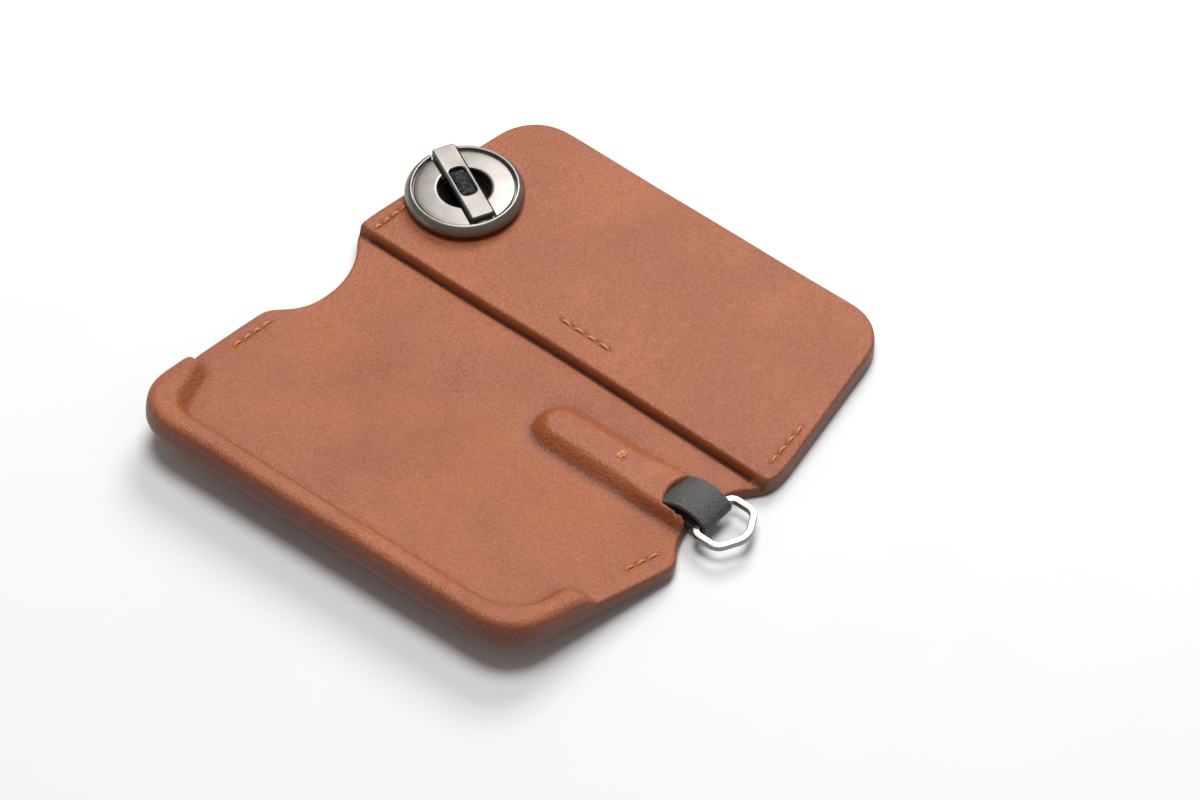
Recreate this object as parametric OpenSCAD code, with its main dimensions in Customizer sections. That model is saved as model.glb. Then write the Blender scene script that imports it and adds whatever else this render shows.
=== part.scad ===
// Folding leather key cover, opened flat with its inner side up.
// Millimetres, +Z up. The fold runs along X, the split ring hangs at +X,
// the back panel lies towards +Y and the front flap towards -Y.

/* [Leather] */

// thickness of the outer leather
outer_t = 1.3; // [0.8:0.1:2]
// thickness of the inner leather
lining_t = 1.3; // [0.8:0.1:2]
// width of the cover across the fold side of its panels
cover_w = 89; // [75:1:110]
// distance from the fold's centre to the back panel's free edge
back_len = 51; // [40:1:60]
// distance from the fold's centre to the front flap's free edge
flap_len = 47.6; // [40:0.2:60]
// how much each side of a panel draws in towards its free edge
draw_in = 5.5; // [2:0.5:9]
// corner radius of the panels
corner_r = 9; // [6:0.5:14]
// radius of the side notches at the fold
notch_r = 15.2; // [12:0.1:20]
// depth of the side notches
notch_depth = 5.7; // [3:0.1:8]

/* [Fold] */

// width of the spine between the two lines where the leather bends
spine_len = 15; // [12:0.5:20]
// how far the front flap stays lifted when the cover lies open
flap_lift = 10; // [0:1:20]

/* [Back panel] */

// thickness of the stiffener board in the back panel
board_t = 1.2; // [0.6:0.1:2]
// gap from the bend line to the raised edge of the back panel
step_gap = 3.1; // [2:0.1:5]
// diameter of a closure magnet
magnet_d = 6; // [4:0.5:8]
// thickness of a closure magnet
magnet_t = 1; // [0.6:0.1:1.4]
// distance of a magnet from the middle of the cover
magnet_x = 26; // [15:1:34]
// distance of a magnet from the fold's centre
magnet_y = 36; // [25:1:42]

/* [Moulded ridge] */

// width of the ridge round the flap's free edge
ridge_w = 6; // [4:0.1:8]
// height of the ridge above the inner leather
ridge_h = 2.6; // [1.5:0.1:4]

/* [Ring and strap] */

// width of the ring strap at the cover
strap_w = 7.5; // [6:0.1:10]
// width of the ring strap at the ring
strap_tip_w = 7; // [5:0.1:9]
// thickness of the strap leather
strap_t = 0.95; // [0.7:0.05:1.5]
// length of the strap tail inside the cover
strap_tail = 22; // [12:1:30]
// height of the ring bar's axis above the table
ring_z = 3.4; // [2.6:0.1:5]
// radius of the ring's bar
ring_bar_r = 0.6; // [0.4:0.05:0.9]
// outside width of the ring
ring_w = 11.2; // [9:0.1:14]
// length of the ring from its bar to its nose
ring_len = 7.7; // [6:0.1:10]
// width of the ring's flat band
ring_band = 1.3; // [0.9:0.1:1.8]
// thickness of the ring's flat band
ring_t = 1.1; // [0.8:0.1:1.5]

/* [Key post] */

// distance of the key post from the middle of the cover
post_x = 34.8; // [28:0.2:38]
// distance of the key post from the fold's centre
post_y = 27.3; // [20:0.1:34]
// outside radius of the key disc
disc_r = 10.3; // [8:0.1:13]
// thickness of the key disc
disc_t = 2.3; // [1.6:0.1:3]
// radius of the hole in the key disc
disc_hole_r = 4.6; // [3:0.1:5.5]
// gap between the back panel and the key disc
disc_gap = 0.7; // [0.4:0.1:1.5]
// width of the toggle bar
bar_w = 4.3; // [4:0.1:6]
// thickness of the toggle bar
bar_t = 1.6; // [1.2:0.1:2]
// length of the toggle bar's longer arm
bar_long = 9.6; // [8:0.1:10]
// length of the toggle bar's shorter arm
bar_short = 8.1; // [7:0.1:8.3]
// turn of the toggle bar from the cover's long direction
bar_turn = -26; // [-90:1:90]
// radius of the toggle's cross pin
pin_r = 0.45; // [0.3:0.05:0.6]

/* [Hidden] */

$fn = 96;

leather_t = outer_t + lining_t;
back_top = leather_t + board_t;
half_w = cover_w / 2;
far_w = half_w - draw_in;
notch_x = half_w - notch_depth + notch_r;
bend_y = spine_len / 2;
step_y = bend_y + step_gap;

ring_x = half_w - 2.5;
ring_in_w = ring_w - 2 * ring_band;
loop_in = ring_bar_r + 0.05;
loop_out = loop_in + strap_t;
mouth_x = ring_x - 8.3;
tail_x = mouth_x - strap_tail;
tail_top = outer_t + 2 * strap_t;

disc_z = back_top + disc_gap;
slot_z = disc_z + 1;
bar_z = slot_z + 0.35;
pin_z = bar_z + 0.5;
window_l = 6.8;
window_mid = -0.7;
window_w = 2.8;
cord_w = 2.4;
cord_t = 0.8;
cord_half = pin_r + 0.05 + cord_t;
eyelet_r = 3.35;

// the frame's origin is under the middle of the open cover's box
middle_x = (ring_x + ring_len - post_x - disc_r) / 2;
flap_far = bend_y + (flap_len + 1.1 - bend_y) * cos(flap_lift);
middle_y = (back_len - flap_far) / 2;

// points: sharp corners, counter-clockwise; radii: one for each corner
function unit(v) = v / norm(v);
function half_angle(a, b, c) = acos(unit(a - b) * unit(c - b)) / 2;
function on_edge(from, to, d) = from + unit(to - from) * d;
function arc_centre(a, b, c, r) =
    b + unit(unit(a - b) + unit(c - b)) * r / sin(half_angle(a, b, c));

back_pts = [[half_w - 0.4, 2], [half_w + 0.8, step_y + 4],
    [far_w, back_len], [-far_w, back_len - 0.6],
    [-half_w - 0.1, step_y + 3], [-half_w, 2]];
back_radii = [0, 8, corner_r, corner_r, 8, 0];
flap_pts = [[-half_w + 0.7, -2], [-half_w + 0.7, -flap_len - 1.3],
    [far_w - 1.2, -flap_len + 1.3], [half_w + 0.2, -2]];
flap_radii = [0, corner_r, corner_r, 0];
board_pts = [[half_w - 2.4, step_y + 2.2], [far_w - 2.6, back_len - 2.4],
    [-far_w + 2.6, back_len - 3], [-half_w + 2.6, step_y + 2.2]];
board_radii = [3, 7, 7, 3];
ring_outer_pts = [[ring_x - 0.65, -ring_w / 2], [ring_x + 5.2, -ring_w / 2],
    [ring_x + ring_len + 0.65, 0], [ring_x + 5.2, ring_w / 2],
    [ring_x - 0.65, ring_w / 2]];
ring_inner_pts = [[ring_x - 3, -ring_in_w / 2], [ring_x + 4.6, -ring_in_w / 2],
    [ring_x + ring_len - 0.85, 0], [ring_x + 4.6, ring_in_w / 2],
    [ring_x - 3, ring_in_w / 2]];
ridge_left_y = -31.5;
ridge_right_y = -27.4;

module rounded(pts, radii) {
    n = len(pts);
    polygon([for (i = [0:n - 1], s = radii[i] > 0 ? [-1, 1] : [0])
        s == 0 ? pts[i] :
        on_edge(pts[i], pts[(i + s + n) % n], radii[i]
            / tan(half_angle(pts[(i + n - 1) % n], pts[i], pts[(i + 1) % n])))]);
    for (i = [0:n - 1]) if (radii[i] > 0)
        translate(arc_centre(pts[(i + n - 1) % n], pts[i], pts[(i + 1) % n], radii[i]))
            circle(radii[i]);
}

// plan of the whole cover, opened flat
module cover_plan() {
    difference() {
        union() {
            rounded(back_pts, back_radii);
            rounded(flap_pts, flap_radii);
            translate([-half_w + 1.5, -4]) square([cover_w - 3, 8]);
        }
        translate([-notch_x - 0.5, -1.8]) circle(notch_r + 0.5);
        translate([notch_x, -0.6]) circle(notch_r - 0.5);
    }
}

module layer(y0, y1, z0, z1) {
    translate([0, 0, z0]) linear_extrude(z1 - z0) intersection() {
        cover_plan();
        translate([-half_w - 5, y0]) square([cover_w + 10, y1 - y0]);
    }
}

// everything is drawn opened flat; the flap is then lifted about its bend line
module in_frame() translate([-middle_x, -middle_y, 0]) children();
module on_flap() in_frame() translate([0, -bend_y, leather_t])
    rotate([-flap_lift, 0, 0]) translate([0, bend_y, -leather_t]) children();
module at_post() in_frame() translate([-post_x, post_y, 0]) children();
module at_bar() at_post() rotate([0, 0, bar_turn]) children();

leather = [0.66, 0.38, 0.25];
module outer_back() color(leather) in_frame()
    layer(bend_y, back_len + 5, 0, outer_t);
module outer_spine() color(leather) in_frame()
    layer(-bend_y, bend_y, 0, outer_t);
module outer_flap() color(leather) on_flap()
    layer(-flap_len - 5, -bend_y, 0, outer_t);

module lining_back() color(leather) in_frame() difference() {
    union() {
        layer(bend_y, step_y, outer_t, leather_t);
        layer(step_y, back_len + 5, outer_t, back_top);
    }
    translate([0, 0, outer_t]) linear_extrude(board_t)
        rounded(board_pts, board_radii);
    translate([-post_x, post_y, outer_t]) cylinder(h = 4, r = eyelet_r + 0.05);
}

// a pocket bulge over the strap tail, open towards the ring
bulge_h = 2;
module bulge() {
    x0 = tail_x + 1;
    x1 = mouth_x + 1;
    translate([x0, 0, leather_t]) cylinder(h = bulge_h, r1 = 5.3, r2 = 4.5);
    translate([x0, 0, leather_t]) rotate([90, 0, 90])
        linear_extrude(x1 - x0)
            polygon([[-5.3, 0], [5.3, 0], [4.5, bulge_h], [-4.5, bulge_h]]);
}
module lining_spine() color(leather) in_frame() difference() {
    union() {
        layer(-bend_y, bend_y, outer_t, leather_t);
        bulge();
    }
    translate([tail_x, -strap_w / 2, outer_t])
        cube([60, strap_w, tail_top - outer_t]);
    translate([mouth_x, -strap_w / 2 - 0.3, outer_t]) cube([60, strap_w + 0.6, 9]);
}

// the ridge: a band round the flap's free edge, its top drawn in step by step
module ridge_band(inset, w, z0, z1) translate([0, 0, z0]) linear_extrude(z1 - z0)
    difference() {
        rounded([[-half_w + 0.7 + inset, ridge_left_y - inset],
            [-half_w + 0.7 + inset, -flap_len - 1.3 + inset],
            [far_w - 1.2 - inset, -flap_len + 1.3 + inset],
            [far_w + 2.3 - inset, ridge_right_y - inset]],
            [0, corner_r - inset, corner_r - inset, 0]);
        rounded([[-half_w + 0.7 + w, 0], [-half_w + 0.7 + w, -flap_len - 1.3 + w],
            [far_w - 2.9 - w, -flap_len + 1.3 + w],
            [far_w + 8.6 - w, -26], [far_w + 8.6 - w, 0]],
            [0, 4, 9, 0, 0]);
    }
module ridge_core_shape() intersection() {
    ridge_band(1.8, ridge_w - 1.8, outer_t, leather_t + ridge_h - 1.3);
    translate([-60, -94.4, 0]) cube([120, 60, 20]);
}
module lining_flap() color(leather) on_flap() difference() {
    union() {
        layer(-flap_len - 5, -bend_y, outer_t, leather_t);
        ridge_band(0.15, ridge_w, leather_t - 0.2, leather_t + ridge_h * 0.55);
        ridge_band(0.6, ridge_w - 0.8, leather_t, leather_t + ridge_h * 0.85);
        ridge_band(1.4, ridge_w - 1.7, leather_t, leather_t + ridge_h);
    }
    ridge_core_shape();
    for (s = [-1, 1]) translate([s * magnet_x, -magnet_y, outer_t])
        cylinder(h = magnet_t, d = magnet_d);
}
module ridge_core() color([0.2, 0.2, 0.2]) on_flap() ridge_core_shape();

module back_board() color([0.5, 0.45, 0.4]) in_frame() difference() {
    translate([0, 0, outer_t]) linear_extrude(board_t)
        rounded(board_pts, board_radii);
    for (s = [-1, 1]) translate([s * magnet_x, magnet_y, 0])
        cylinder(h = 9, d = magnet_d);
    translate([-post_x, post_y, 0]) cylinder(h = 9, r = eyelet_r + 0.25);
}
module magnets_back() color([0.6, 0.6, 0.62]) in_frame()
    for (s = [-1, 1]) translate([s * magnet_x, magnet_y, outer_t])
        cylinder(h = magnet_t, d = magnet_d);
module magnets_flap() color([0.6, 0.6, 0.62]) on_flap()
    for (s = [-1, 1]) translate([s * magnet_x, -magnet_y, outer_t])
        cylinder(h = magnet_t, d = magnet_d);

// the post: a swivelling anchor plate in the panel and an eyelet in the lining
module post_anchor() color([0.7, 0.7, 0.72]) at_post()
    translate([0, 0, outer_t + 0.1]) cylinder(h = 0.7, r = eyelet_r - 0.05);
module post_eyelet() color([0.7, 0.7, 0.72]) at_post() difference() {
    union() {
        translate([0, 0, outer_t + board_t]) cylinder(h = lining_t + 0.1, r = eyelet_r);
        translate([0, 0, back_top + 0.05]) cylinder(h = 0.25, r = eyelet_r + 1.2);
    }
    translate([0, 0, outer_t]) cylinder(h = 9, r = 2.6);
}

// elastic from the anchor up to the disc, then a loop over the cross pin
module strands(z0, z1) for (s = [-1, 1])
    translate([s * (cord_half - cord_t / 2) - cord_t / 2, -cord_w / 2, z0])
        cube([cord_t, cord_w, z1 - z0]);
module elastic_cord() color([0.08, 0.08, 0.08]) at_bar()
    strands(outer_t + 0.8, disc_z + 0.5);
module cord_loop() color([0.08, 0.08, 0.08]) at_bar() {
    strands(disc_z + 0.5, pin_z);
    translate([0, cord_w / 2, pin_z]) rotate([90, 0, 0]) linear_extrude(cord_w)
        difference() {
            circle(cord_half);
            circle(pin_r + 0.05);
            translate([-5, -10]) square([10, 10]);
        }
}
module cross_pin() color([0.75, 0.75, 0.77]) at_bar()
    translate([0, bar_w / 2 - 0.2, pin_z]) rotate([90, 0, 0])
        cylinder(h = bar_w - 0.4, r = pin_r);

// dished disc with a bright raised rim and a slot that the bar lies in
module key_disc() color([0.62, 0.62, 0.64]) at_bar() difference() {
    translate([0, 0, disc_z]) rotate_extrude() polygon([
        [disc_hole_r, 0], [disc_r - 1.4, 0], [disc_r - 0.3, 0.5],
        [disc_r, 1.1], [disc_r, disc_t - 0.5], [disc_r - 0.5, disc_t],
        [disc_r - 1.6, disc_t], [disc_r - 1.9, disc_t - 0.5],
        [disc_hole_r + 0.3, disc_t - 0.5], [disc_hole_r, disc_t - 0.8]]);
    translate([-20, -bar_w / 2 - 0.3, slot_z])
        cube([20 + bar_short + 0.3, bar_w + 0.6, 5]);
}
module toggle_bar() color([0.62, 0.62, 0.64]) at_bar() difference() {
    translate([0, 0, bar_z]) linear_extrude(bar_t) difference() {
        rounded([[-bar_long, -bar_w / 2], [bar_short, -bar_w / 2],
            [bar_short, bar_w / 2], [-bar_long, bar_w / 2]], [1, 1, 1, 1]);
        translate([window_mid, 0]) rounded([[-window_l / 2, -window_w / 2],
            [window_l / 2, -window_w / 2], [window_l / 2, window_w / 2],
            [-window_l / 2, window_w / 2]], [0.9, 0.9, 0.9, 0.9]);
    }
    translate([0, bar_w / 2 - 0.2, pin_z]) rotate([90, 0, 0])
        cylinder(h = bar_w - 0.4, r = pin_r + 0.03);
}

// the strap: one strip doubled over the ring's bar, its tail between the leathers
arch = 1.2;
steps = 16;
function strap_top(u) = tail_top + (ring_z + loop_out - tail_top) * u + arch * sin(180 * u);
function strap_under(u) = outer_t + strap_t
    + (ring_z + loop_in - outer_t - strap_t) * u + arch * sin(180 * u);
function strap_line(z_at) = [for (i = [steps:-1:0]) let (u = i / steps)
    [mouth_x + (ring_x - mouth_x) * u, z_at(u)]];
function ring_turn(r) = [for (i = [0:steps]) let (a = 180 * i / steps - 90)
    [ring_x + r * cos(a), ring_z + r * sin(a)]];
module ring_strap() color([0.13, 0.13, 0.13]) in_frame() intersection() {
    translate([0, 20, 0]) rotate([90, 0, 0]) linear_extrude(40) difference() {
        polygon(concat([[tail_x, outer_t], [mouth_x, outer_t]], ring_turn(loop_out),
            strap_line(function(u) strap_top(u)), [[tail_x, tail_top]]));
        polygon(concat([[mouth_x, outer_t + strap_t - 0.01]], ring_turn(loop_in),
            strap_line(function(u) strap_under(u))));
    }
    linear_extrude(10) polygon([[tail_x, -strap_w / 2], [mouth_x + 3, -strap_w / 2],
        [ring_x - 1, -strap_tip_w / 2], [ring_x + 3, -strap_tip_w / 2],
        [ring_x + 3, strap_tip_w / 2], [ring_x - 1, strap_tip_w / 2],
        [mouth_x + 3, strap_w / 2], [tail_x, strap_w / 2]]);
}
module d_ring() color([0.8, 0.8, 0.8]) in_frame() {
    translate([ring_x, ring_in_w / 2 + 0.4, ring_z]) rotate([90, 0, 0])
        cylinder(h = ring_in_w + 0.8, r = ring_bar_r);
    translate([0, 0, ring_z - ring_t / 2]) linear_extrude(ring_t) difference() {
        rounded(ring_outer_pts, [0, 2.6, 4.5, 2.6, 0]);
        rounded(ring_inner_pts, [0, 1.6, 3.2, 1.6, 0]);
    }
}

// one thread stitch lying on a surface, from one hole to the next
thread_r = 0.28;
module stitch(from, to, z) {
    d = to - from;
    translate([from[0], from[1], z]) rotate([0, 0, atan2(d[1], d[0])])
        intersection() {
            union() {
                rotate([0, 90, 0]) cylinder(h = norm(d), r = thread_r, $fn = 24);
                for (x = [0, norm(d)]) translate([x, 0, 0]) sphere(thread_r, $fn = 24);
            }
            translate([-1, -1, 0]) cube([norm(d) + 2, 2, 1]);
        }
}
module stitch_row(from, to, count, z) {
    pitch = (to - from) / count;
    for (i = [0:count - 1])
        stitch(from + pitch * (i + 0.14), from + pitch * (i + 0.86), z);
}
module stitches_back() color([0.85, 0.55, 0.35]) in_frame() {
    stitch_row([-half_w + 2.6, step_y + 1.4], [-half_w + 3.2, step_y + 9.4], 4, back_top);
    stitch_row([half_w - 2, step_y + 4], [half_w - 3, step_y + 14], 4, back_top);
    stitch_row([-4.5, step_y + 6], [6.6, step_y + 6], 4, back_top);
}
module stitches_flap() color([0.85, 0.55, 0.35]) on_flap() {
    stitch_row([-half_w + 3.3, -15], [-half_w + 3.3, -24.6], 4, leather_t);
    stitch_row([half_w - 3.9, -11.6], [half_w - 5.3, -19], 3, leather_t);
}
module bar_tack() color([0.85, 0.55, 0.35]) in_frame()
    for (y = [-1, 0, 1]) stitch([mouth_x - 10.4 + 0.35 * y, 0.55 * y - 1.1],
        [mouth_x - 9.4 + 0.35 * y, 0.55 * y + 1.1], leather_t + bulge_h);

outer_back();
outer_spine();
outer_flap();
lining_back();
lining_spine();
lining_flap();
back_board();
ridge_core();
magnets_back();
magnets_flap();
post_anchor();
post_eyelet();
elastic_cord();
cord_loop();
cross_pin();
key_disc();
toggle_bar();
ring_strap();
d_ring();
stitches_back();
stitches_flap();
bar_tack();
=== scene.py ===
"""Folding leather key cover, lying open with its inner side up."""
import math

import bmesh
import bpy
import numpy as np
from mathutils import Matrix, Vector
from mathutils.geometry import delaunay_2d_cdt

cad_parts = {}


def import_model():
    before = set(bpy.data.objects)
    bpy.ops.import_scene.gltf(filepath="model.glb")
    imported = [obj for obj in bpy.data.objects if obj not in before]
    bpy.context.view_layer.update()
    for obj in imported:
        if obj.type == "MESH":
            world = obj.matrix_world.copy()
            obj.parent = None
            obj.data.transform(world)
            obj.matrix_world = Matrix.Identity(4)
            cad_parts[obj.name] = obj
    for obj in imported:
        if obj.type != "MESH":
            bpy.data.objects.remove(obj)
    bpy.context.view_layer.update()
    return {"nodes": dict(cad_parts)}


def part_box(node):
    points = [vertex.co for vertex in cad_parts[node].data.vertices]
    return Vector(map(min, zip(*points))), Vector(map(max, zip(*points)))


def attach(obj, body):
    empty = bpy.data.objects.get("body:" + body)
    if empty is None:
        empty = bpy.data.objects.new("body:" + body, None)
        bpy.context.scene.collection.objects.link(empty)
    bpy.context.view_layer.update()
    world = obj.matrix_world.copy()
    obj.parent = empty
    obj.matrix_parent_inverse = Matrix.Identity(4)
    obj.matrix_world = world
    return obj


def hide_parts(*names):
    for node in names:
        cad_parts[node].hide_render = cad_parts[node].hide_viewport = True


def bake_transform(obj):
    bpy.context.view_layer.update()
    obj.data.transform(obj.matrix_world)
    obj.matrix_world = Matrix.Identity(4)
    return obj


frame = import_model()
MM = 0.001

# The cover's own plan, in millimetres: x along the fold from the middle of
# the cover, y from the middle of the spine, z up from the table.
anchor_low, anchor_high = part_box("post_anchor")
POST = np.array([-34.8, 27.3])          # middle of the key post
SHIFT = POST - np.array((anchor_low + anchor_high) / 2)[:2] / MM
BEND_Y = 7.5                            # from the middle of the spine to each bend
LEATHER = 2.6                           # both hides together
LIFT = math.radians(10)                 # how far the flap stands up
STEP_Y = 10.6                           # where the thicker back panel starts
BOARD_RISE = 1.2                        # the board under the back panel
BULGE_RISE = 2.05                       # the strap's tail under the leather
BULGE_HALF_W = 5.5
RIDGE_RISE = 2.15                       # the moulded ridge round the flap
CHANNEL_Z = 1.35                        # outer leather, bare in the strap's way out
CHANNEL_HALF_W = 4.0
BAR_TURN = math.radians(-26)            # the toggle bar, from the fold's direction
RING_X, RING_Z = 42.0, 3.4              # middle of the ring's straight bar
STRAP_HALF_W, STRAP_HALF_T = 3.65, 0.47


def world(points):
    """Plan millimetres to metres in the frame that all the parts share."""
    p = np.array(points, float).reshape(-1, 3)
    p[:, :2] -= SHIFT
    return p * MM


def smooth(t):
    """Nought to one along an S curve."""
    t = np.clip(t, 0, 1)
    return t * t * (3 - 2 * t)


# ---------------------------------------------------------------- camera
def look_from(obj, place, target):
    """Places a camera or a lamp and turns it to a target."""
    obj.location = place
    obj.rotation_euler = (Vector(target) - Vector(place)).to_track_quat("-Z", "Y").to_euler()


aim = Vector(world([(10.2, 9.6, 0)])[0])
away = Vector((0.4217, -0.5026, 0.7547)).normalized()   # one metre off, 49 degrees up
camera_data = bpy.data.cameras.new("camera")
camera_data.lens, camera_data.sensor_width = 180, 36
camera_data.clip_start, camera_data.clip_end = 0.01, 20
camera = bpy.data.objects.new("camera", camera_data)
bpy.context.scene.collection.objects.link(camera)
look_from(camera, aim + away, aim)
bpy.context.scene.camera = camera


# ------------------------------------------------------------- materials
def srgb(text):
    """A hex colour as linear red, green and blue, and full alpha."""
    part = [int(text[i:i + 2], 16) / 255 for i in (1, 3, 5)]
    return [c / 12.92 if c <= 0.04045 else ((c + 0.055) / 1.055) ** 2.4 for c in part] + [1.0]


def per_metre(size_mm):
    """Texture scale at which one feature is size_mm across."""
    return 1000 / size_mm


def add(tree, kind, into=None, stops=(), **settings):
    """Adds a node: its settings, its ramp's stops, and a value or a link for each named input."""
    made = tree.nodes.new("ShaderNode" + kind)
    for name, value in settings.items():
        setattr(made, name, value)
    while len(stops) > len(made.color_ramp.elements if stops else ()):
        made.color_ramp.elements.new(0.5)
    for i, (position, colour) in enumerate(stops):
        made.color_ramp.elements[i].position = position
        made.color_ramp.elements[i].color = srgb(colour)
    for name, value in (into or {}).items():
        socket = made.inputs[name] if isinstance(name, int) else next(
            s for s in made.inputs if s.name == name and s.enabled)
        if isinstance(value, bpy.types.Node):
            value = next(o for o in value.outputs if o.enabled)
        if isinstance(value, bpy.types.NodeSocket):
            tree.links.new(value, socket)
        else:
            socket.default_value = value
    return made


def blank(name):
    """A new material with its node tree cleared, and the place on the piece in metres."""
    material = bpy.data.materials.new(name)
    material.use_nodes = True
    material.node_tree.nodes.clear()
    return material, material.node_tree, add(material.node_tree, "TexCoord").outputs["Object"]


def tanned_leather(name, dark, middle, light, shade_tint, pebble_mm, relief_mm, roughness):
    """Smooth side of a tanned hide: pebbled grain, pores darkened partly as grain tone and partly
    as painted sparkle, cloudy dye, and painted shade mixed in from a mesh attribute.
    """
    material, tree, place = blank(name)
    pebbles = add(tree, "TexVoronoi", {
        "Vector": place, "Scale": per_metre(pebble_mm), "Randomness": 1.0}, feature="SMOOTH_F1")
    pores = add(tree, "TexNoise", {
        "Vector": place, "Scale": per_metre(pebble_mm) * 0.9, "Detail": 5.0, "Roughness": 0.7})
    wrinkles = add(tree, "TexNoise", {
        "Vector": place, "Scale": per_metre(2.6), "Detail": 3.0, "Roughness": 0.6})
    dye = add(tree, "TexNoise", {
        "Vector": place, "Scale": per_metre(17), "Detail": 5.0, "Roughness": 0.6})
    cloud = add(tree, "ValToRGB", {"Fac": dye}, [(0.25, dark), (0.5, middle), (0.8, light)])
    # pores darker than the grain round them: partly the grain's own tone, partly painted sparkle
    # standing in for glints
    pore_tone_and_painted_sparkle = add(tree, "ValToRGB", {"Fac": pores},
               [(0.38, "#bfa292"), (0.5, "#ebe1da"), (0.6, "#ffffff")])
    grained = add(tree, "Mix", {"Factor": 0.6, "A": cloud, "B": pore_tone_and_painted_sparkle},
                  data_type="RGBA", blend_type="MULTIPLY")
    # painted shade: a mesh attribute mixes the colour towards a dark tint in grooves, creases, the
    # feet of raised parts and on the walls; along the outline it is partly real edge dye
    painted_shade_and_edge_dye = add(tree, "Attribute", attribute_name="painted_shade_and_edge_dye").outputs["Fac"]
    with_painted_shade = add(tree, "Mix", {"Factor": painted_shade_and_edge_dye, "A": grained, "B": srgb(shade_tint)},
               data_type="RGBA")
    # the relief is pores on wrinkles, with the pebbles' valleys taken off
    low_hills = add(tree, "Math", {0: wrinkles, 1: 0.8}, operation="MULTIPLY")
    hills = add(tree, "Math", {0: pores, 1: 0.9, 2: low_hills}, operation="MULTIPLY_ADD")
    valleys = add(tree, "Math", {0: pebbles, 1: 0.55}, operation="MULTIPLY")
    relief = add(tree, "Math", {0: hills, 1: valleys}, operation="SUBTRACT")
    bump = add(tree, "Bump", {"Height": relief, "Strength": 1.0, "Distance": relief_mm * MM})
    shine = add(tree, "MapRange", {
        "Value": pores, "From Min": 0.3, "From Max": 0.7,
        "To Min": roughness + 0.12, "To Max": roughness - 0.08})
    leather = add(tree, "BsdfPrincipled", {
        "Base Color": with_painted_shade, "Roughness": shine, "Normal": bump, "IOR": 1.5,
        "Specular IOR Level": 0.5})
    add(tree, "OutputMaterial", {"Surface": leather})
    return material


def plated_metal(name, deep, bright, roughness, grit_mm, relief_mm):
    """Cast or drawn metal under plating: fine grit from blasting or tumbling, uneven colour."""
    material, tree, place = blank(name)
    grit = add(tree, "TexNoise", {
        "Vector": place, "Scale": per_metre(grit_mm), "Detail": 4.0, "Roughness": 0.65})
    patches = add(tree, "TexNoise", {"Vector": place, "Scale": per_metre(3.5), "Detail": 3.0})
    tint = add(tree, "ValToRGB", {"Fac": patches}, [(0.3, deep), (0.7, bright)])
    rough = add(tree, "MapRange", {
        "Value": grit, "To Min": roughness - 0.08, "To Max": roughness + 0.1})
    bump = add(tree, "Bump", {"Height": grit, "Strength": 1.0, "Distance": relief_mm * MM})
    metal = add(tree, "BsdfPrincipled", {
        "Base Color": tint, "Roughness": rough, "Normal": bump, "Metallic": 1.0})
    add(tree, "OutputMaterial", {"Surface": metal})
    return material


WAVE_RADIANS = 20       # a wave texture of scale 1 turns through about this much in one unit


def twisted_yarn(name, deep, bright, yarn_mm, relief_mm, roughness):
    """Spun or braided yarn: slanting strands with loose hairs that catch the light."""
    material, tree, place = blank(name)
    strands = add(tree, "TexWave", {
        "Vector": place, "Scale": per_metre(yarn_mm) / WAVE_RADIANS, "Distortion": 4.0,
        "Detail": 2.0, "Detail Scale": 2.0}, bands_direction="DIAGONAL")
    hairs = add(tree, "TexNoise", {
        "Vector": place, "Scale": per_metre(yarn_mm), "Detail": 4.0, "Roughness": 0.7})
    tint = add(tree, "ValToRGB", {"Fac": hairs}, [(0.35, deep), (0.68, bright)])
    both = add(tree, "Math", {0: hairs, 1: strands}, operation="ADD")
    bump = add(tree, "Bump", {"Height": both, "Strength": 1.0, "Distance": relief_mm * MM})
    yarn = add(tree, "BsdfPrincipled", {
        "Base Color": tint, "Normal": bump, "Roughness": roughness, "Specular IOR Level": 0.3})
    add(tree, "OutputMaterial", {"Surface": yarn})
    return material


def pressed_stock(name, deep, bright, speck_mm, relief_mm):
    """Fibre board, foam or paper: matte, with a fine speckle."""
    material, tree, place = blank(name)
    specks = add(tree, "TexNoise", {"Vector": place, "Scale": per_metre(speck_mm), "Detail": 3.0})
    tint = add(tree, "ValToRGB", {"Fac": specks}, [(0.3, deep), (0.7, bright)])
    bump = add(tree, "Bump", {"Height": specks, "Strength": 1.0, "Distance": relief_mm * MM})
    stock = add(tree, "BsdfPrincipled", {
        "Base Color": tint, "Normal": bump, "Roughness": 0.88})
    add(tree, "OutputMaterial", {"Surface": stock})
    return material


# Caramel hide, aniline dyed and waxed: a soft broad shine, grain about 0.4 mm that sparkles
# a little, its pores partly painted sparkle, and red-brown painted shade in the creases where it
# was pressed over the mould
TAN = tanned_leather("full_grain_leather_waxed", "#8e4a22", "#9c542a", "#a85f33", "#501f0d",
                     pebble_mm=0.40, relief_mm=0.19, roughness=0.37)
# Thin strap hide, drum dyed charcoal: finer grain, a little more matte
CHARCOAL = tanned_leather("strap_leather_dyed", "#3a3a3a", "#464646", "#565655", "#161616",
                          pebble_mm=0.36, relief_mm=0.22, roughness=0.42)
# Zinc, die cast, bead blasted and plated dark: a satin grey that fades softly across its faces
GUNMETAL = plated_metal("zinc_cast_blasted_plated", "#7c7773", "#8a8580",
                        roughness=0.38, grit_mm=0.12, relief_mm=0.005)
# Steel band, bent, tumbled and plated in nickel: brighter, with small soft reflections
NICKEL = plated_metal("steel_tumbled_nickel", "#837d77", "#928c86",
                      roughness=0.26, grit_mm=0.2, relief_mm=0.002)
# Steel eyelet and rivet, black as painted shade so that they stay out of sight under the disc
BLACK_AS_SHADE = plated_metal("steel_black_painted_shade", "#131313", "#1c1c1c",
                         roughness=0.45, grit_mm=0.2, relief_mm=0.003)
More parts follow.
